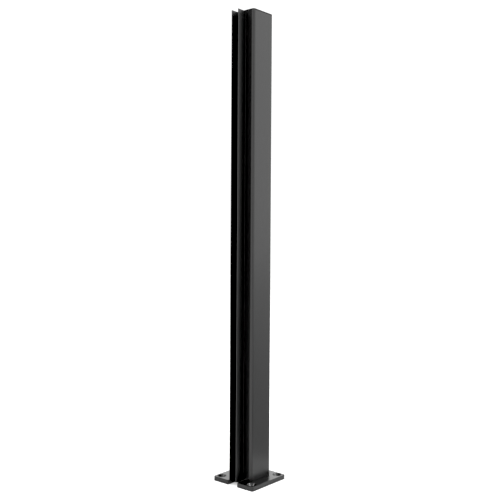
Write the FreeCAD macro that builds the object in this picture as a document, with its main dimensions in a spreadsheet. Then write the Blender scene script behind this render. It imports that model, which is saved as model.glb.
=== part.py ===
import FreeCAD, Part
import os

import Sketcher

# End post of a panel barrier, all sizes in millimetres.
# A black aluminium extrusion stands on a thick square plate that is bolted to the floor.
# The extrusion is a square tube with two thin fins along its front, which make a channel
# for the edge of a glass or solid panel.  The front of the post faces -Y.
# The origin is the centre of the plate's underside, and +Z is up.

SIZES = (
    ("overall_height", 990.6, "floor to the top of the cap"),
    ("body_width", 63.5, "square tube, face to face"),
    ("corner_radius", 6.35, "upright corners of the tube and the cap"),
    ("tube_wall", 2.2, "wall of the tube"),
    ("hollow_radius", 1.5, "inside corners of the tube"),
    ("channel_gap", 15.9, "clear width between the fins"),
    ("channel_depth", 22.75, "fin tip to the front of the tube"),
    ("fin_thickness", 1.75, "one fin"),
    ("fin_tip_radius", 0.8, "edges of a fin's tip"),
    ("fin_root_radius", 0.3, "corner where a fin leaves the tube"),
    ("port_inset", 7.0, "tube's outer face to the centre of a screw port"),
    ("port_bore", 5.5, "bore of a screw port"),
    ("port_wall", 2.0, "metal beside the bore, towards the hollow"),
    ("plate_thickness", 9.525, "base plate"),
    ("plate_corner_radius", 4.0, "upright corners of the base plate"),
    ("plate_edge_radius", 0.8, "worn edge all round the base plate"),
    ("notch_width", 25.4, "slot in the plate under the channel"),
    ("notch_radius", 3.0, "inner corners of that slot"),
    ("floor_hole_edge", 12.5, "plate edge to the centre of a floor bolt"),
    ("floor_hole", 10.3, "clearance hole of a floor bolt"),
    ("floor_countersink", 20.0, "mouth of that hole"),
    ("floor_countersink_angle", 82.0, "full angle of its cone"),
    ("screw_size", 6.0, "nominal size of a plate screw"),
    ("screw_head", 12.0, "flat head of a plate screw"),
    ("screw_head_angle", 90.0, "full angle of the head"),
    ("screw_head_rim", 0.5, "straight rim of the head"),
    ("screw_length", 38.0, "plate screw, end to end"),
    ("screw_point", 1.5, "tapered end of the screw"),
    ("screw_recess", 0.4, "head below the plate's underside"),
    ("screw_socket", 4.0, "hexagon socket, across its flats"),
    ("screw_socket_depth", 2.6, "depth of the socket"),
    ("screw_play", 0.3, "plate's clearance round a screw, on radius"),
    ("thread_play", 0.05, "gap left where a screw's thread bites, on radius"),
    ("cap_lip", 2.8, "plate of the cap that shows above the tube"),
    ("cap_edge_radius", 1.2, "top edge of the cap"),
    ("cap_seam_radius", 0.2, "lower edge of the cap's lip"),
    ("cap_gap", 0.9, "shadow gap between the tube and the cap's lip"),
    ("cap_gap_depth", 1.1, "how far the shadow gap goes in"),
    ("cap_tongue_length", 14.0, "tongues that plug into the tube"),
    ("cap_tongue_thickness", 2.0, "one tongue"),
    ("cap_tongue_inset", 3.0, "tongue's edge to the block of a screw port"),
    ("cap_play", 0.1, "gap between a tongue and the wall"),
)

doc = FreeCAD.newDocument("barrier_post")
sheet = doc.addObject("Spreadsheet::Sheet", "sizes")
for row, (alias, value, meaning) in enumerate(SIZES, start=1):
    sheet.set(f"A{row}", alias)
    sheet.set(f"B{row}", str(value))
    sheet.setAlias(f"B{row}", alias)
    sheet.set(f"C{row}", meaning)
doc.recompute()

# What follows from the driving sizes, as expressions on the sheet.
BODY_HALF = "sizes.body_width / 2"
TUBE_LENGTH = "(sizes.overall_height - sizes.plate_thickness - sizes.cap_lip)"
HOLLOW_HALF = f"({BODY_HALF} - sizes.tube_wall)"
BLOCK = "(sizes.port_inset + sizes.port_bore / 2 + sizes.port_wall)"
ARM_HALF = f"({BODY_HALF} - {BLOCK})"
PORT = f"({BODY_HALF} - sizes.port_inset)"
PLATE_HALF = f"({BODY_HALF} + sizes.channel_depth)"
FLOOR_BOLT = f"({PLATE_HALF} - sizes.floor_hole_edge)"
CORNERS = ((1, 1), (-1, 1), (-1, -1), (1, -1))


def number(expression):
    """The present value of an expression on the sheet."""
    return float(sheet.evalExpression(expression))


def new_body(name, height="0", x="0", y="0"):
    """An empty body, named for its piece and placed at (x, y, height)."""
    body = doc.addObject("PartDesign::Body", name)
    body.Label = name
    body.setExpression("Placement.Base.x", x)
    body.setExpression("Placement.Base.y", y)
    body.setExpression("Placement.Base.z", height)
    return body


def new_sketch(body, name, height="0", role="XY_Plane"):
    """A sketch on one of the body's own origin planes, lifted by height along its normal."""
    sketch = body.newObject("Sketcher::SketchObject", f"{body.Name}_{name}")
    plane = next(item for item in body.Origin.OriginFeatures if item.Role == role)
    sketch.AttachmentSupport = (plane, [""])
    sketch.MapMode = "FlatFace"
    sketch.setExpression("AttachmentOffset.Base.z", height)
    return sketch


def hold(sketch, kind, elements, expression):
    """A dimension that follows an expression."""
    index = sketch.addConstraint(Sketcher.Constraint(kind, *elements, number(expression)))
    name = f"size_{index}"
    sketch.renameConstraint(index, name)
    sketch.setExpression(f"Constraints.{name}", expression)


def add_outline(sketch, points):
    """A closed outline of straight lines; each point is a pair of expressions."""
    places = [FreeCAD.Vector(number(x), number(y), 0) for x, y in points]
    ends = places[1:] + places[:1]
    lines = [
        sketch.addGeometry(Part.LineSegment(start, end), False)
        for start, end in zip(places, ends)
    ]
    for line, following in zip(lines, lines[1:] + lines[:1]):
        sketch.addConstraint(Sketcher.Constraint("Coincident", line, 2, following, 1))
    for line, (x, y) in zip(lines, points):
        hold(sketch, "DistanceX", (-1, 1, line, 1), x)
        hold(sketch, "DistanceY", (-1, 1, line, 1), y)


def add_rectangle(sketch, left, right, front, back):
    """A rectangle between four expressions."""
    add_outline(sketch, ((left, front), (right, front), (right, back), (left, back)))


def add_circles(sketch, reach, diameter):
    """Four circles, one at each corner of a square of half-width reach."""
    for side, end in CORNERS:
        x = f"{side} * {reach}"
        y = f"{end} * {reach}"
        centre = FreeCAD.Vector(number(x), number(y), 0)
        shape = Part.Circle(centre, FreeCAD.Vector(0, 0, 1), number(diameter) / 2)
        circle = sketch.addGeometry(shape, False)
        hold(sketch, "DistanceX", (-1, 1, circle, 3), x)
        hold(sketch, "DistanceY", (-1, 1, circle, 3), y)
        hold(sketch, "Diameter", (circle,), diameter)


def changed_volume(body, feature, sign):
    """Recomputes, and stops if the feature added or removed nothing."""
    base = feature.BaseFeature
    before = base.Shape.Volume if base else 0.0
    doc.recompute()
    if (feature.Shape.Volume - before) * sign <= 0:
        raise ValueError(f"{feature.Name} changes nothing in {body.Label}")


def pad(body, sketch, name, length, downward=False):
    """Metal added on a sketch."""
    feature = body.newObject("PartDesign::Pad", f"{body.Name}_{name}")
    feature.Profile = sketch
    feature.Reversed = downward
    feature.setExpression("Length", length)
    changed_volume(body, feature, 1)
    return feature


def pocket(body, sketch, name, length, upward=False):
    """Metal cut away below a sketch, or above it."""
    feature = body.newObject("PartDesign::Pocket", f"{body.Name}_{name}")
    feature.Profile = sketch
    feature.Reversed = upward
    feature.setExpression("Length", length)
    changed_volume(body, feature, -1)
    return feature


def countersunk_holes(body, sketch, name, bore, mouth, angle, upward=False):
    """Through holes with a conical mouth on the sketch's plane."""
    doc.recompute()
    hole = body.newObject("PartDesign::Hole", f"{body.Name}_{name}")
    hole.Profile = sketch
    doc.recompute()
    hole.Threaded = False
    hole.ThreadType = "None"
    hole.DepthType = "ThroughAll"
    hole.DrillPoint = "Flat"
    hole.HoleCutType = "Countersink"
    hole.HoleCutCustomValues = True
    hole.Reversed = upward
    hole.setExpression("Diameter", bore)
    hole.setExpression("HoleCutDiameter", mouth)
    hole.setExpression("HoleCutCountersinkAngle", angle)
    changed_volume(body, hole, -1)
    return hole


def upright(edge):
    """Whether an edge is a straight vertical line."""
    box = edge.BoundBox
    return box.XLength < 0.001 and box.YLength < 0.001


def stands_at(edge, places):
    """Whether an upright edge stands at one of the plan positions."""
    if not upright(edge):
        return False
    x, y = edge.BoundBox.XMin, edge.BoundBox.YMin
    return any(abs(x - px) < 0.01 and abs(y - py) < 0.01 for px, py in places)


def lies_at(edge, height):
    """Whether an edge lies level at a height."""
    box = edge.BoundBox
    return abs(box.ZMin - height) < 0.001 and abs(box.ZMax - height) < 0.001


def reaches(edge, distance):
    """Whether an edge gets that far from the body's axis along X or Y."""
    box = edge.BoundBox
    return max(abs(side) for side in (box.XMin, box.XMax, box.YMin, box.YMax)) > distance - 0.01


def round_edges(body, name, radius, wanted, count=None):
    """Rounds the edges of the body's last feature that wanted picks."""
    doc.recompute()
    base = body.Tip
    names = [f"Edge{i}" for i, edge in enumerate(base.Shape.Edges, start=1) if wanted(edge)]
    if not names or (count and len(names) != count):
        raise ValueError(f"{name} finds {len(names)} edges in {body.Label}")
    feature = body.newObject("PartDesign::Fillet", f"{body.Name}_{name}")
    feature.Base = (base, names)
    feature.setExpression("Radius", radius)
    doc.recompute()
    return feature


def square_corners(reach):
    """Plan positions of the four corners of a square, as numbers."""
    half = number(reach)
    return [(side * half, end * half) for side, end in CORNERS]


def make_base_plate():
    """Thick square plate, with a slot under the channel and two sets of four countersunk holes."""
    body = new_body("base_plate")
    outline = new_sketch(body, "outline")
    add_rectangle(outline, f"-{PLATE_HALF}", PLATE_HALF, f"-{PLATE_HALF}", PLATE_HALF)
    pad(body, outline, "slab", "sizes.plate_thickness")
    corners = square_corners(PLATE_HALF)
    round_edges(
        body, "corners", "sizes.plate_corner_radius", lambda e: stands_at(e, corners), 4
    )

    # The slot is open at the front edge and ends in line with the front of the tube.
    slot = new_sketch(body, "slot", "sizes.plate_thickness")
    half = "sizes.notch_width / 2"
    add_rectangle(
        slot, f"-{half}", half, f"-({PLATE_HALF} + sizes.notch_radius)", f"-{BODY_HALF}"
    )
    pocket(body, slot, "notch", "sizes.plate_thickness")
    ends = [(side * number(half), -number(BODY_HALF)) for side in (-1, 1)]
    round_edges(body, "notch_corners", "sizes.notch_radius", lambda e: stands_at(e, ends), 2)

    # The edge is broken all round, on the top and on the underside.
    levels = (0.0, number("sizes.plate_thickness"))
    round_edges(
        body,
        "edges",
        "sizes.plate_edge_radius",
        lambda e: any(lies_at(e, level) for level in levels),
    )

    floor = new_sketch(body, "floor_bolts", "sizes.plate_thickness")
    add_circles(floor, FLOOR_BOLT, "sizes.floor_hole")
    countersunk_holes(
        body,
        floor,
        "floor_holes",
        "sizes.floor_hole",
        "sizes.floor_countersink",
        "sizes.floor_countersink_angle",
    )

    # The plate screws come from underneath, so their heads are sunk in the underside.
    screws = new_sketch(body, "screws")
    bore = "sizes.screw_size + 2 * sizes.screw_play"
    sunk = "(sizes.screw_recess + sizes.screw_head_rim)"
    mouth = f"sizes.screw_head + 2 * {sunk} * tan(sizes.screw_head_angle / 2 * 1 deg)"
    add_circles(screws, PORT, bore)
    countersunk_holes(
        body, screws, "screw_holes", bore, mouth, "sizes.screw_head_angle", upward=True
    )
    return body


def make_post_extrusion():
    """Square tube with four screw ports in its corners and two fins along its front."""
    body = new_body("post_extrusion", "sizes.plate_thickness")
    outline = new_sketch(body, "outline")
    add_rectangle(outline, f"-{BODY_HALF}", BODY_HALF, f"-{BODY_HALF}", BODY_HALF)
    pad(body, outline, "bar", TUBE_LENGTH)

    # Two crossing cuts make the hollow and leave a square block in each corner.
    across = new_sketch(body, "across", TUBE_LENGTH)
    add_rectangle(across, f"-{HOLLOW_HALF}", HOLLOW_HALF, f"-{ARM_HALF}", ARM_HALF)
    pocket(body, across, "hollow_across", TUBE_LENGTH)
    along = new_sketch(body, "along", TUBE_LENGTH)
    add_rectangle(along, f"-{ARM_HALF}", ARM_HALF, f"-{HOLLOW_HALF}", HOLLOW_HALF)
    pocket(body, along, "hollow_along", TUBE_LENGTH)

    ports = new_sketch(body, "ports", TUBE_LENGTH)
    add_circles(ports, PORT, "sizes.port_bore")
    pocket(body, ports, "screw_ports", TUBE_LENGTH)

    corners = square_corners(BODY_HALF)
    round_edges(body, "corners", "sizes.corner_radius", lambda e: stands_at(e, corners), 4)
    wall, arm = number(HOLLOW_HALF), number(ARM_HALF)
    inside = [(sx * a, sy * b) for sx, sy in CORNERS for a, b in ((wall, arm), (arm, wall))]
    inside += square_corners(ARM_HALF)
    round_edges(body, "hollow_corners", "sizes.hollow_radius", lambda e: stands_at(e, inside), 12)

    # Each fin starts inside the front wall, so the two are one piece of metal.
    fins = new_sketch(body, "fins")
    near, far = "sizes.channel_gap / 2", "(sizes.channel_gap / 2 + sizes.fin_thickness)"
    tip, root = f"-{PLATE_HALF}", f"-({BODY_HALF} - sizes.tube_wall / 2)"
    add_rectangle(fins, near, far, tip, root)
    add_rectangle(fins, f"-{far}", f"-{near}", tip, root)
    pad(body, fins, "fins", TUBE_LENGTH)
    sides = [side * number(reach) for side in (-1, 1) for reach in (near, far)]
    tips = [(side, number(tip)) for side in sides]
    round_edges(body, "fin_tips", "sizes.fin_tip_radius", lambda e: stands_at(e, tips), 4)
    roots = [(side, -number(BODY_HALF)) for side in sides]
    round_edges(body, "fin_roots", "sizes.fin_root_radius", lambda e: stands_at(e, roots), 4)
    return body


def make_top_cap():
    """Lid flush with the tube, on a shoulder that leaves a gap, with four tongues that plug in."""
    body = new_body("top_cap", "sizes.overall_height - sizes.cap_lip + sizes.cap_gap")
    shoulder = new_sketch(body, "shoulder")
    inset = f"({BODY_HALF} - sizes.cap_gap_depth)"
    add_rectangle(shoulder, f"-{inset}", inset, f"-{inset}", inset)
    pad(body, shoulder, "shoulder", "sizes.cap_gap", downward=True)
    inner_corners = square_corners(inset)
    radius = "(sizes.corner_radius - sizes.cap_gap_depth)"
    round_edges(body, "shoulder_corners", radius, lambda e: stands_at(e, inner_corners), 4)

    outline = new_sketch(body, "outline")
    add_rectangle(outline, f"-{BODY_HALF}", BODY_HALF, f"-{BODY_HALF}", BODY_HALF)
    pad(body, outline, "lip", "(sizes.cap_lip - sizes.cap_gap)")
    corners = square_corners(BODY_HALF)
    round_edges(body, "corners", "sizes.corner_radius", lambda e: stands_at(e, corners), 4)
    top = number("sizes.cap_lip - sizes.cap_gap")
    round_edges(body, "top_edge", "sizes.cap_edge_radius", lambda e: lies_at(e, top))
    rim = number(BODY_HALF)
    round_edges(
        body,
        "seam_edge",
        "sizes.cap_seam_radius",
        lambda e: lies_at(e, 0.0) and reaches(e, rim),
        8,
    )

    tongues = new_sketch(body, "tongues")
    outer = f"({HOLLOW_HALF} - sizes.cap_play)"
    inner = f"({outer} - sizes.cap_tongue_thickness)"
    half = f"({ARM_HALF} - sizes.cap_tongue_inset)"
    add_rectangle(tongues, inner, outer, f"-{half}", half)
    add_rectangle(tongues, f"-{outer}", f"-{inner}", f"-{half}", half)
    add_rectangle(tongues, f"-{half}", half, inner, outer)
    add_rectangle(tongues, f"-{half}", half, f"-{outer}", f"-{inner}")
    pad(body, tongues, "tongues", "(sizes.cap_gap + sizes.cap_tongue_length)", downward=True)
    return body


def make_plate_screw(number_of_screw, side, end):
    """Flat-head socket screw, head down in the plate and shank up in a screw port."""
    body = new_body(
        f"plate_screw_{number_of_screw}",
        "sizes.screw_recess",
        f"{side} * {PORT}",
        f"{end} * {PORT}",
    )
    profile = new_sketch(body, "profile", role="XZ_Plane")
    head = "sizes.screw_head / 2"
    shank = "(sizes.port_bore / 2 - sizes.thread_play)"
    rim = "sizes.screw_head_rim"
    neck = f"({rim} + ({head} - {shank}) / tan(sizes.screw_head_angle / 2 * 1 deg))"
    taper = "(sizes.screw_length - sizes.screw_point)"
    point = f"({shank} - sizes.screw_point / 2)"
    add_outline(
        profile,
        (
            ("0", "0"),
            (head, "0"),
            (head, rim),
            (shank, neck),
            (shank, taper),
            (point, "sizes.screw_length"),
            ("0", "sizes.screw_length"),
        ),
    )
    turned = body.newObject("PartDesign::Revolution", f"{body.Name}_turned")
    turned.Profile = profile
    turned.ReferenceAxis = (profile, ["V_Axis"])
    turned.Angle = 360
    changed_volume(body, turned, 1)

    # The hexagon lies with two flats square to X.
    socket = new_sketch(body, "socket")
    half = "sizes.screw_socket / 2"
    corner = f"({half} / cos(30 deg))"
    low = f"({corner} / 2)"
    add_outline(
        socket,
        (
            ("0", corner),
            (f"-{half}", low),
            (f"-{half}", f"-{low}"),
            ("0", f"-{corner}"),
            (half, f"-{low}"),
            (half, low),
        ),
    )
    pocket(body, socket, "socket", "sizes.screw_socket_depth", upward=True)
    return body


pieces = [make_base_plate(), make_post_extrusion(), make_top_cap()]
for index, (side, end) in enumerate(CORNERS, start=1):
    pieces.append(make_plate_screw(index, side, end))
doc.recompute()

for item in doc.Objects:
    if {"Invalid", "Error"} & set(item.State):
        raise ValueError(f"{item.Label} failed: {item.State}")
for piece in pieces:
    if piece.Shape.isNull() or not piece.Shape.isValid() or len(piece.Shape.Solids) != 1:
        raise ValueError(f"{piece.Label} isn't one valid solid")

os.makedirs("parts", exist_ok=True)
for piece in pieces:
    piece.Shape.exportStep(f"parts/{piece.Label}.step")
    print(piece.Label, round(piece.Shape.Volume, 1), piece.Shape.BoundBox)
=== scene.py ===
import math

import bmesh
import bpy
from mathutils import Matrix, Vector


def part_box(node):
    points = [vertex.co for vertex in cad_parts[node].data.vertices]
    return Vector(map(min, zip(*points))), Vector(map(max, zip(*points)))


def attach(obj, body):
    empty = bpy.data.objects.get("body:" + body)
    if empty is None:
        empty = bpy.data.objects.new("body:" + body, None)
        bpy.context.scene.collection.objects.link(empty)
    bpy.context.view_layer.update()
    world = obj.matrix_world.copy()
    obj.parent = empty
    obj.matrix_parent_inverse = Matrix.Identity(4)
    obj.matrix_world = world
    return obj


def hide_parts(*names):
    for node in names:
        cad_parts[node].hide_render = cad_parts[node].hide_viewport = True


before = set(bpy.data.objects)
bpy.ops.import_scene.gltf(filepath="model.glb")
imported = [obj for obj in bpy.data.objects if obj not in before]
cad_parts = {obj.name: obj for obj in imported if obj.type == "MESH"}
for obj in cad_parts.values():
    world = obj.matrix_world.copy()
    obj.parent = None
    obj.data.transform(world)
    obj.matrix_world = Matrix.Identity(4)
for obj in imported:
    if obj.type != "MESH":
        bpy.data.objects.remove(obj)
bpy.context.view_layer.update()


# ---------------------------------------------------------------------------------------------
# Camera.  A 52 mm lens on a full-frame body, just above the middle of the post and a metre and a
# half away, off the corner between the channel and the right-hand side.
scene = bpy.context.scene
camera_data = bpy.data.cameras.new("camera")
camera_data.sensor_width = 36.0
camera_data.lens = 52.3
camera = bpy.data.objects.new("camera", camera_data)
camera_place = Vector((1.0036, -1.1757, 0.5253))
camera_heading = math.radians(40.55)
camera_tilt = math.radians(-1.24)
camera_roll = math.radians(0.33)
camera.matrix_world = (
    Matrix.Translation(camera_place)
    @ Matrix.Rotation(camera_heading, 4, "Z")
    @ Matrix.Rotation(math.radians(90) + camera_tilt, 4, "X")
    @ Matrix.Rotation(camera_roll, 4, "Z")
)
scene.collection.objects.link(camera)
scene.camera = camera
scene.view_settings.view_transform = "Standard"

# The print is made a little hard, so that the deepest shadows close up.
deepest_shadow = 0.011
scene.view_settings.use_curve_mapping = True
print_curve = scene.view_settings.curve_mapping
print_curve.black_level = (deepest_shadow, deepest_shadow, deepest_shadow)
print_curve.update()


# ---------------------------------------------------------------------------------------------
# Floor.  A sheet of pale matt studio paper, far wider than the view.
MM = 0.001


def linear(hex_colour):
    """An sRGB hex colour as the linear colour that a shader takes."""
    channels = [int(hex_colour[i : i + 2], 16) / 255 for i in (1, 3, 5)]
    return [c / 12.92 if c <= 0.04045 else ((c + 0.055) / 1.055) ** 2.4 for c in channels] + [1.0]


def add_node(tree, kind, inputs=None, **settings):
    """A new node with its settings; each input is a value, or a socket that is linked to it."""
    made = tree.nodes.new(kind)
    for name, value in settings.items():
        setattr(made, name, value)
    for name, value in (inputs or {}).items():
        if isinstance(value, bpy.types.NodeSocket):
            tree.links.new(value, made.inputs[name])
        else:
            made.inputs[name].default_value = value
    return made


def new_material(name):
    """An empty node material and its tree."""
    material = bpy.data.materials.new(name)
    material.use_nodes = True
    material.node_tree.nodes.clear()
    return material, material.node_tree


def new_piece(name, bm, material):
    """The finished mesh as an object at the origin, with one material."""
    mesh = bpy.data.meshes.new(name)
    bm.to_mesh(mesh)
    bm.free()
    mesh.materials.append(material)
    piece = bpy.data.objects.new(name, mesh)
    scene.collection.objects.link(piece)
    return piece


# Seamless paper: matt, close to white, with a faint cloudy mottle where its fibres lie uneven.
mottle_size = 25.0 * MM
studio_paper, tree = new_material("studio_paper")
place = add_node(tree, "ShaderNodeTexCoord").outputs["Object"]
mottle = add_node(
    tree, "ShaderNodeTexNoise", {"Vector": place, "Scale": 1 / mottle_size, "Detail": 3.0}
)
tint = add_node(
    tree,
    "ShaderNodeMix",
    {"Factor": mottle.outputs["Fac"], "A": linear("#f2f2f2"), "B": linear("#f5f5f5")},
    data_type="RGBA",
)
paper = add_node(tree, "ShaderNodeBsdfDiffuse", {"Color": tint.outputs["Result"], "Roughness": 0.6})
add_node(tree, "ShaderNodeOutputMaterial", {"Surface": paper.outputs["BSDF"]})

floor_width = 14.0
bm = bmesh.new()
bmesh.ops.create_grid(bm, x_segments=1, y_segments=1, size=floor_width / 2)
studio_floor = new_piece("studio_floor", bm, studio_paper)


# ---------------------------------------------------------------------------------------------
# Light.  An even white room.  Three wide soft boxes stand behind, to the right and in front for
# the flat faces to mirror, two high ones pick out the edges, one overhead brightens the floor,
# and two cards darken the shine on the left and low on the right.
room_brightness = 1.12
world = bpy.data.worlds.new("white_room")
world.use_nodes = True
world.node_tree.nodes["Background"].inputs["Color"].default_value = linear("#ffffff")
world.node_tree.nodes["Background"].inputs["Strength"].default_value = room_brightness
scene.world = world


def facing_post(bearing, distance, height, aim):
    """A place on a bearing counted from the post's front, whose +Z points away from height aim."""
    turn = Matrix.Rotation(math.radians(bearing), 3, "Z")
    place = turn @ Vector((0.0, -distance, height))
    away = place - Vector((0.0, 0.0, aim))
    return Matrix.Translation(place) @ away.to_track_quat("Z", "Y").to_matrix().to_4x4()


def add_soft_box(name, stand, width, height, brightness):
    """A rectangular area light at a stand; the camera doesn't see the lamp itself."""
    data = bpy.data.lights.new(name, "AREA")
    data.shape = "RECTANGLE"
    data.size = width
    data.size_y = height
    data.energy = brightness * math.pi * width * height
    lamp = bpy.data.objects.new(name, data)
    lamp.matrix_world = stand
    lamp.visible_camera = False
    scene.collection.objects.link(lamp)


# For each soft box: its bearing in degrees, its distance, its height and the height it is
# turned to, then its own width, height and brightness.
soft_boxes = (
    ("right_soft_box", (112.0, 2.0, 1.45, 1.45), (4.0, 2.3), 1.1),
    ("back_soft_box", (213.0, 2.0, 1.45, 1.45), (3.6, 2.3), 0.95),
    ("front_soft_box", (14.0, 2.2, 1.3, 1.3), (3.0, 2.6), 0.9),
    ("high_right_soft_box", (118.0, 2.6, 3.1, 0.0), (0.7, 0.7), 30.0),
    ("high_left_soft_box", (-38.0, 2.6, 3.1, 0.0), (0.7, 0.7), 22.0),
    ("overhead_soft_box", (0.0, 0.0, 3.0, 0.0), (1.5, 1.5), 5.0),
)
for name, spot, size, brightness in soft_boxes:
    add_soft_box(name, facing_post(*spot), *size, brightness)


def add_card(name, stand, width, height, material):
    """A card at a stand, which is seen in the post's shine and nowhere else."""
    bm = bmesh.new()
    bmesh.ops.create_grid(bm, x_segments=1, y_segments=1, size=0.5)
    bmesh.ops.scale(bm, vec=(width, height, 1.0), verts=bm.verts)
    bmesh.ops.transform(bm, matrix=stand, verts=bm.verts)
    card = new_piece(name, bm, material)
    card.visible_camera = False
    card.visible_diffuse = False
    card.visible_shadow = False


# Black flock: the upright card's cloth, which returns next to no light.
black_flock, tree = new_material("black_flock")
cloth = add_node(tree, "ShaderNodeBsdfDiffuse", {"Color": linear("#0e0e0e"), "Roughness": 1.0})
add_node(tree, "ShaderNodeOutputMaterial", {"Surface": cloth.outputs["BSDF"]})
add_card("left_card", facing_post(-46.0, 2.1, 1.1, 1.1), 1.6, 2.2, black_flock)

# Grey card: matt board just off the floor that tones down the foot of the right-hand side.
board_bearing = math.radians(139.5)
board_distance = 1.13
board_lift = 2.0 * MM
grey_board, tree = new_material("grey_board")
board = add_node(tree, "ShaderNodeBsdfDiffuse", {"Color": linear("#c2c2c2"), "Roughness": 1.0})
add_node(tree, "ShaderNodeOutputMaterial", {"Surface": board.outputs["BSDF"]})
board_turn = Matrix.Rotation(board_bearing, 4, "Z")
board_stand = board_turn @ Matrix.Translation((0.0, -board_distance, board_lift))
add_card("floor_card", board_stand, 1.6, 1.9, grey_board)


# ---------------------------------------------------------------------------------------------
# Post extrusion.  One length of extruded aluminium: a square tube with a screw port in each
# corner and two fins up the middle of its front, which make the panel channel.  It is sawn to
# length and powder coated after sawing, so its ends are coated too.
tube_low, tube_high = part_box("post_extrusion")
half_width = tube_high.x
front = -tube_high.y
fin_tip = tube_low.y
corner_radius = 6.35 * MM
tube_wall = 2.2 * MM
hollow_radius = 1.5 * MM
fin_gap = 15.9 * MM
fin_thickness = 1.75 * MM
fin_inside = fin_gap / 2
fin_outside = fin_inside + fin_thickness
fin_tip_radius = 0.8 * MM
fin_root_radius = 0.3 * MM
port_inset = 7.0 * MM
port_bore_radius = 5.5 * MM / 2
port_wall = 2.0 * MM
sawn_edge_radius = 0.25 * MM

# The signs of the four corners, and what every mesh is drawn to: the step along a rounded
# corner, the gap under which two places are one, and the angle from which an edge is sharp.
four_corners = ((1, 1), (-1, 1), (-1, -1), (1, -1))
arc_step = 0.5 * MM
same_place = 0.001 * MM
sharp_angle = math.radians(40)


def outline_face(bm, corners, height):
    """A level face through corners, each (x, y, radius); every corner is rounded to its radius."""
    points = [bm.verts.new((x, y, height)) for x, y, radius in corners]
    bm.faces.new(points)
    rim = points
    radii = [radius for x, y, radius in corners]
    for radius in sorted(set(radii) - {0.0}):
        segments = max(4, round(radius / arc_step))
        made = bmesh.ops.bevel(
            bm,
            geom=[point for point, own in zip(points, radii) if own == radius],
            affect="VERTICES",
            offset=radius,
            segments=segments,
            profile=0.5,
            material=-1,
        )
        rim = made["verts"]
    face = rim[0].link_faces[0]
    face.normal_update()
    if face.normal.z < 0:
        face.normal_flip()
    return face


def raise_face(bm, face, height):
    """Extrudes a face straight up into a closed block of that height."""
    made = bmesh.ops.extrude_face_region(bm, geom=[face], use_keep_orig=True)
    lifted = [item for item in made["geom"] if isinstance(item, bmesh.types.BMVert)]
    bmesh.ops.translate(bm, vec=(0.0, 0.0, height), verts=lifted)
    bmesh.ops.recalc_face_normals(bm, faces=bm.faces)


def at_height(items, height):
    """Those edges or faces that lie level at a height."""
    return [item for item in items if all(abs(v.co.z - height) < same_place for v in item.verts)]


def round_level_edges(bm, height, radius, segments):
    """Rounds every edge that lies at a height."""
    bmesh.ops.bevel(
        bm,
        geom=at_height(bm.edges, height),
        affect="EDGES",
        offset=radius,
        segments=segments,
        profile=0.5,
        material=-1,
    )


def ring(bm, x, y, height, radius, segments=48):
    """The edges of a level circle, in an order that every run repeats."""
    place = Matrix.Translation((x, y, height))
    made = bmesh.ops.create_circle(bm, segments=segments, radius=radius, matrix=place)
    return list(dict.fromkeys(edge for vert in made["verts"] for edge in vert.link_edges))


def widest_face(bm, height):
    """The largest of the faces that lie at a height."""
    return max(at_height(bm.faces, height), key=lambda face: face.calc_area())


def open_level_face(bm, height, rings):
    """Cuts the rings out of the widest face at a height."""
    face = widest_face(bm, height)
    border = list(face.edges)
    up = face.normal.copy()
    bmesh.ops.delete(bm, geom=[face], context="FACES_ONLY")
    bmesh.ops.triangle_fill(
        bm, use_beauty=True, use_dissolve=False, edges=border + rings, normal=up
    )


def finish_mesh(bm):
    """Closes the seams, turns every face outwards and shades curves smooth."""
    bmesh.ops.remove_doubles(bm, verts=bm.verts, dist=same_place)
    bmesh.ops.recalc_face_normals(bm, faces=bm.faces)
    for face in bm.faces:
        face.smooth = True
    for edge in bm.edges:
        if len(edge.link_faces) == 2 and edge.calc_face_angle() > sharp_angle:
            edge.smooth = False


def true_flats(piece):
    """Keeps the wide flat faces flat in their shading, next to the narrow rounded ones."""
    weighting = piece.modifiers.new("true_flats", "WEIGHTED_NORMAL")
    weighting.mode = "FACE_AREA"
    weighting.keep_sharp = True


# Satin black polyester powder coat on aluminium: a black resin film about 0.07 mm thick that
# melted and flowed as it was baked.  It has a low even shine with a slow ripple like orange peel
# and a fine grain.  The grain, about 0.3 mm across, is too fine to show here, so it is drawn
# eight times as coarse.
shade_size = 60.0 * MM
grain_size = 2.4 * MM
ripple_size = 6.0 * MM
ripple_height = 0.06 * MM
powder_coat, tree = new_material("satin_black_powder_coat")
place = add_node(tree, "ShaderNodeTexCoord").outputs["Object"]
shade = add_node(
    tree, "ShaderNodeTexNoise", {"Vector": place, "Scale": 1 / shade_size, "Detail": 2.0}
)
pigment = add_node(
    tree,
    "ShaderNodeMix",
    {"Factor": shade.outputs["Fac"], "A": linear("#070707"), "B": linear("#0a0a0a")},
    data_type="RGBA",
)
grain = add_node(
    tree, "ShaderNodeTexNoise", {"Vector": place, "Scale": 1 / grain_size, "Detail": 2.0}
)
shine = add_node(
    tree,
    "ShaderNodeMapRange",
    {"Value": grain.outputs["Fac"], "To Min": 0.26, "To Max": 0.34},
)
ripple = add_node(
    tree, "ShaderNodeTexNoise", {"Vector": place, "Scale": 1 / ripple_size, "Detail": 1.0}
)
relief = add_node(
    tree,
    "ShaderNodeBump",
    {"Height": ripple.outputs["Fac"], "Strength": 1.0, "Distance": ripple_height},
)
coat = add_node(
    tree,
    "ShaderNodeBsdfPrincipled",
    {
        "Base Color": pigment.outputs["Result"],
        "Roughness": shine.outputs["Result"],
        "IOR": 1.5,
        "Normal": relief.outputs["Normal"],
    },
)
add_node(tree, "ShaderNodeOutputMaterial", {"Surface": coat.outputs["BSDF"]})

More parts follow.
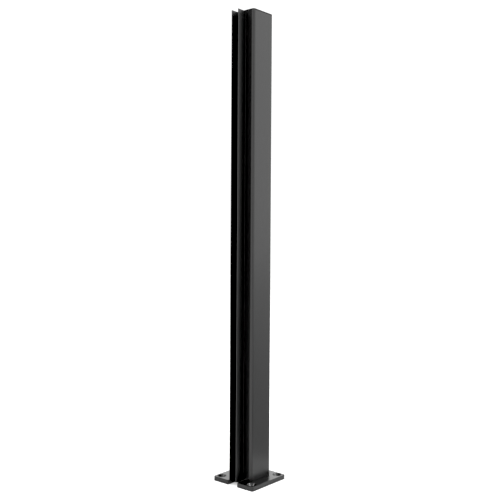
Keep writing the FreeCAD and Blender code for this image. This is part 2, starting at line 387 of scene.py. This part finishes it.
# The outline starts at the back on the right and runs anticlockwise from above, past the fins.
bm = bmesh.new()
section = outline_face(
    bm,
    [
        (half_width, tube_high.y, corner_radius),
        (-half_width, tube_high.y, corner_radius),
        (-half_width, front, corner_radius),
        (-fin_outside, front, fin_root_radius),
        (-fin_outside, fin_tip, fin_tip_radius),
        (-fin_inside, fin_tip, fin_tip_radius),
        (-fin_inside, front, fin_root_radius),
        (fin_inside, front, fin_root_radius),
        (fin_inside, fin_tip, fin_tip_radius),
        (fin_outside, fin_tip, fin_tip_radius),
        (fin_outside, front, fin_root_radius),
        (half_width, front, corner_radius),
    ],
    tube_low.z,
)
raise_face(bm, section, tube_high.z - tube_low.z)
for end in (tube_low.z, tube_high.z):
    round_level_edges(bm, end, sawn_edge_radius, 3)

# The hollow is a cross with a solid block left in each corner, and each block has a bore.
wall_inside = half_width - tube_wall
port = half_width - port_inset
block = port - port_bore_radius - port_wall
cross = [
    (block, wall_inside, hollow_radius),
    (-block, wall_inside, hollow_radius),
    (-block, block, hollow_radius),
    (-wall_inside, block, hollow_radius),
    (-wall_inside, -block, hollow_radius),
    (-block, -block, hollow_radius),
    (-block, -wall_inside, hollow_radius),
    (block, -wall_inside, hollow_radius),
    (block, -block, hollow_radius),
    (wall_inside, -block, hollow_radius),
    (wall_inside, block, hollow_radius),
    (block, block, hollow_radius),
]
ends = {}
for end in (tube_low.z, tube_high.z):
    opening = outline_face(bm, cross, end)
    loops = [list(opening.edges)]
    bmesh.ops.delete(bm, geom=[opening], context="FACES_ONLY")
    loops += [
        ring(bm, sx * port, sy * port, end, port_bore_radius, segments=32)
        for sx, sy in four_corners
    ]
    open_level_face(bm, end, [edge for loop in loops for edge in loop])
    ends[end] = loops
for lower, upper in zip(ends[tube_low.z], ends[tube_high.z]):
    bmesh.ops.bridge_loops(bm, edges=lower + upper)
finish_mesh(bm)
post = new_piece("post", bm, powder_coat)
true_flats(post)
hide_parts("post_extrusion")
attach(post, "root")


# ---------------------------------------------------------------------------------------------
# Base plate.  Sawn from thick aluminium plate, drilled, slotted under the channel, its edges
# broken all round, then powder coated.  The four corner holes are countersunk from above for
# the floor bolts, and the four inner ones from below for the plate screws.
plate_low, plate_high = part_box("base_plate")
plate_half = plate_high.x
plate_corner_radius = 4.0 * MM
plate_edge_radius = 0.8 * MM
slot_half = 25.4 * MM / 2
slot_radius = 3.0 * MM
floor_bolt_inset = 12.5 * MM
floor_bolt = plate_half - floor_bolt_inset
floor_hole_radius = 10.3 * MM / 2
floor_mouth_radius = 20.0 * MM / 2
floor_cone_half_angle = math.radians(82.0 / 2)
screw_hole_radius = 6.6 * MM / 2
screw_mouth_radius = 13.8 * MM / 2
screw_cone_half_angle = math.radians(90.0 / 2)

bm = bmesh.new()
slab = outline_face(
    bm,
    [
        (plate_half, plate_half, plate_corner_radius),
        (-plate_half, plate_half, plate_corner_radius),
        (-plate_half, -plate_half, plate_corner_radius),
        (-slot_half, -plate_half, 0.0),
        (-slot_half, front, slot_radius),
        (slot_half, front, slot_radius),
        (slot_half, -plate_half, 0.0),
        (plate_half, -plate_half, plate_corner_radius),
    ],
    plate_low.z,
)
raise_face(bm, slab, plate_high.z - plate_low.z)
for level in (plate_low.z, plate_high.z):
    round_level_edges(bm, level, plate_edge_radius, 4)


def countersunk_rings(reach, mouth_radius, bore_radius, half_angle, mouth_z, far_z):
    """For each corner of a square: the rings of a countersunk hole, from mouth to far end."""
    depth = (mouth_radius - bore_radius) / math.tan(half_angle)
    neck_z = mouth_z + math.copysign(depth, far_z - mouth_z)
    return [
        [
            ring(bm, sx * reach, sy * reach, mouth_z, mouth_radius),
            ring(bm, sx * reach, sy * reach, neck_z, bore_radius),
            ring(bm, sx * reach, sy * reach, far_z, bore_radius),
        ]
        for sx, sy in four_corners
    ]


floor_holes = countersunk_rings(
    floor_bolt,
    floor_mouth_radius,
    floor_hole_radius,
    floor_cone_half_angle,
    plate_high.z,
    plate_low.z,
)
screw_holes = countersunk_rings(
    port, screw_mouth_radius, screw_hole_radius, screw_cone_half_angle, plate_low.z, plate_high.z
)
top_rings = [hole[0] for hole in floor_holes] + [hole[2] for hole in screw_holes]
bottom_rings = [hole[2] for hole in floor_holes] + [hole[0] for hole in screw_holes]
open_level_face(bm, plate_high.z, [edge for loop in top_rings for edge in loop])
open_level_face(bm, plate_low.z, [edge for loop in bottom_rings for edge in loop])
for mouth, neck, far in floor_holes + screw_holes:
    bmesh.ops.bridge_loops(bm, edges=mouth + neck)
    bmesh.ops.bridge_loops(bm, edges=neck + far)
finish_mesh(bm)
plate = new_piece("plate", bm, powder_coat)
true_flats(plate)
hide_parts("base_plate")
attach(plate, "root")


# ---------------------------------------------------------------------------------------------
# Top cap.  A cast aluminium lid flush with the tube and powder coated to match.  A shoulder holds
# its lip just off the tube, and four tongues plug into the hollow between the screw ports.
cap_low, cap_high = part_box("top_cap")
shoulder_low = tube_high.z
cap_gap = 0.9 * MM
cap_gap_depth = 1.1 * MM
lip_low = shoulder_low + cap_gap
cap_edge_radius = 1.2 * MM
cap_seam_radius = 0.2 * MM
tongue_clearance = 0.1 * MM
tongue_thickness = 2.0 * MM
tongue_side_room = 3.0 * MM
tongue_outside = wall_inside - tongue_clearance
tongue_inside = tongue_outside - tongue_thickness
tongue_half = block - tongue_side_room
tongue_edge_radius = 0.3 * MM


def tongue_outline(quarter):
    """The four corners of a tongue, turned that many quarters round the cap from its right."""
    turn = Matrix.Rotation(quarter * math.pi / 2, 2)
    corners = [
        (tongue_inside, -tongue_half),
        (tongue_inside, tongue_half),
        (tongue_outside, tongue_half),
        (tongue_outside, -tongue_half),
    ]
    return [(*(turn @ Vector(corner)), tongue_edge_radius) for corner in corners]


bm = bmesh.new()
lip_outline = [(sx * half_width, sy * half_width, corner_radius) for sx, sy in four_corners]
lip = outline_face(bm, lip_outline, lip_low)
raise_face(bm, lip, cap_high.z - lip_low)
round_level_edges(bm, cap_high.z, cap_edge_radius, 6)
round_level_edges(bm, lip_low, cap_seam_radius, 3)
underside = widest_face(bm, lip_low)
inset = cap_gap_depth - cap_seam_radius
bmesh.ops.inset_region(bm, faces=[underside], thickness=inset, use_even_offset=True)
made = bmesh.ops.extrude_face_region(bm, geom=[underside])
lowered = [item for item in made["geom"] if isinstance(item, bmesh.types.BMVert)]
bmesh.ops.translate(bm, vec=(0.0, 0.0, -cap_gap), verts=lowered)
bmesh.ops.delete(bm, geom=[underside], context="FACES_ONLY")
roots = []
for quarter in range(4):
    root = outline_face(bm, tongue_outline(quarter), shoulder_low)
    roots.append(list(root.edges))
    bmesh.ops.delete(bm, geom=[root], context="FACES_ONLY")
open_level_face(bm, shoulder_low, [edge for root in roots for edge in root])
for quarter, root in enumerate(roots):
    tip = outline_face(bm, tongue_outline(quarter), cap_low.z)
    bmesh.ops.bridge_loops(bm, edges=root + list(tip.edges))
finish_mesh(bm)
cap = new_piece("cap", bm, powder_coat)
true_flats(cap)
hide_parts("top_cap")
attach(cap, "root")


# ---------------------------------------------------------------------------------------------
# Plate screws.  Four flat-head socket screws of plain stainless steel, driven up through the
# plate into the tube's screw ports.  Only their heads show, and only from below.
screw_low, screw_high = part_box("plate_screw_1")
screw_sides = 24
screw_head_radius = 12.0 * MM / 2
screw_head_rim = 0.5 * MM
screw_break = 0.15 * MM
socket_sides = 6
socket_across_flats = 4.0 * MM
socket_radius = socket_across_flats / math.sqrt(3)
socket_depth = 2.6 * MM
thread_clearance = 0.05 * MM
thread_depth = 0.4 * MM
thread_pitch = 1.0 * MM
thread_crest = port_bore_radius - thread_clearance
thread_core = thread_crest - thread_depth
point_length = 1.5 * MM
point_taper = 0.75 * MM

# The head is a 90 degree cone, so it is as long as it narrows.
thread_from = screw_low.z + screw_head_rim + screw_head_radius - thread_core
thread_to = screw_high.z - point_length

# One turn of the thread in six steps along the screw: how far each stands towards the crest.
thread_steps = (0.0, 0.1, 0.8, 1.0, 0.8, 0.1)

# Plain stainless steel, cold headed and tumbled: bright, with an uneven satin shine.
scuff_size = 0.8 * MM
stainless, tree = new_material("plain_stainless_steel")
place = add_node(tree, "ShaderNodeTexCoord").outputs["Object"]
scuff = add_node(
    tree, "ShaderNodeTexNoise", {"Vector": place, "Scale": 1 / scuff_size, "Detail": 2.0}
)
polish = add_node(
    tree,
    "ShaderNodeMapRange",
    {"Value": scuff.outputs["Fac"], "To Min": 0.22, "To Max": 0.34},
)
steel = add_node(
    tree,
    "ShaderNodeBsdfPrincipled",
    {
        "Base Color": linear("#c4c4c6"),
        "Metallic": 1.0,
        "Roughness": polish.outputs["Result"],
    },
)
add_node(tree, "ShaderNodeOutputMaterial", {"Surface": steel.outputs["BSDF"]})


def add_turned(bm, x, y, profile):
    """A turned surface through (height, radius) pairs; returns its rings."""
    rings = [ring(bm, x, y, height, radius, screw_sides) for height, radius in profile]
    for lower, upper in zip(rings, rings[1:]):
        bmesh.ops.bridge_loops(bm, edges=lower + upper)
    return rings


def add_thread(bm, x, y):
    """A helical thread that rises out of the core at one end and sinks back at the other."""
    steps = len(thread_steps)
    rows = round((thread_to - thread_from) / thread_pitch * steps)
    grid = []
    for row in range(-steps, rows + 1):
        line = []
        for side in range(screw_sides + 1):
            height = thread_from + (row / steps + side / screw_sides) * thread_pitch
            height = min(max(height, thread_from), thread_to)
            run = min(height - thread_from, thread_to - height) / thread_pitch
            rise = thread_steps[row % steps] * min(run, 1.0)
            radius = thread_core + rise * (thread_crest - thread_core)
            angle = 2 * math.pi * side / screw_sides
            spot = (x + radius * math.cos(angle), y + radius * math.sin(angle), height)
            line.append(bm.verts.new(spot))
        grid.append(line)
    for lower, upper in zip(grid, grid[1:]):
        for side in range(screw_sides):
            bm.faces.new((lower[side], lower[side + 1], upper[side + 1], upper[side]))


for number, (sx, sy) in enumerate(four_corners, start=1):
    x = sx * port
    y = sy * port
    bm = bmesh.new()
    head = [
        (screw_low.z, screw_head_radius - screw_break),
        (screw_low.z + screw_break, screw_head_radius),
        (screw_low.z + screw_head_rim, screw_head_radius),
        (thread_from, thread_core),
    ]
    point = [(thread_to, thread_core), (screw_high.z, thread_core - point_taper)]
    socket_mouth, socket_floor = (
        ring(bm, x, y, screw_low.z + rise, socket_radius, socket_sides)
        for rise in (0.0, socket_depth)
    )
    bmesh.ops.bridge_loops(bm, edges=socket_mouth + socket_floor)
    bmesh.ops.edgeloop_fill(bm, edges=socket_floor)
    head_rings = add_turned(bm, x, y, head)
    bmesh.ops.edgeloop_fill(bm, edges=head_rings[0])
    bm.normal_update()
    open_level_face(bm, screw_low.z, socket_mouth)
    add_thread(bm, x, y)
    point_rings = add_turned(bm, x, y, point)
    bmesh.ops.edgeloop_fill(bm, edges=point_rings[-1])
    finish_mesh(bm)
    screw = new_piece(f"screw_{number}", bm, stainless)
    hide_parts(f"plate_screw_{number}")
    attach(screw, "root")


# ---------------------------------------------------------------------------------------------
# Finish.  The scene is brought up to date.
bpy.context.view_layer.update()
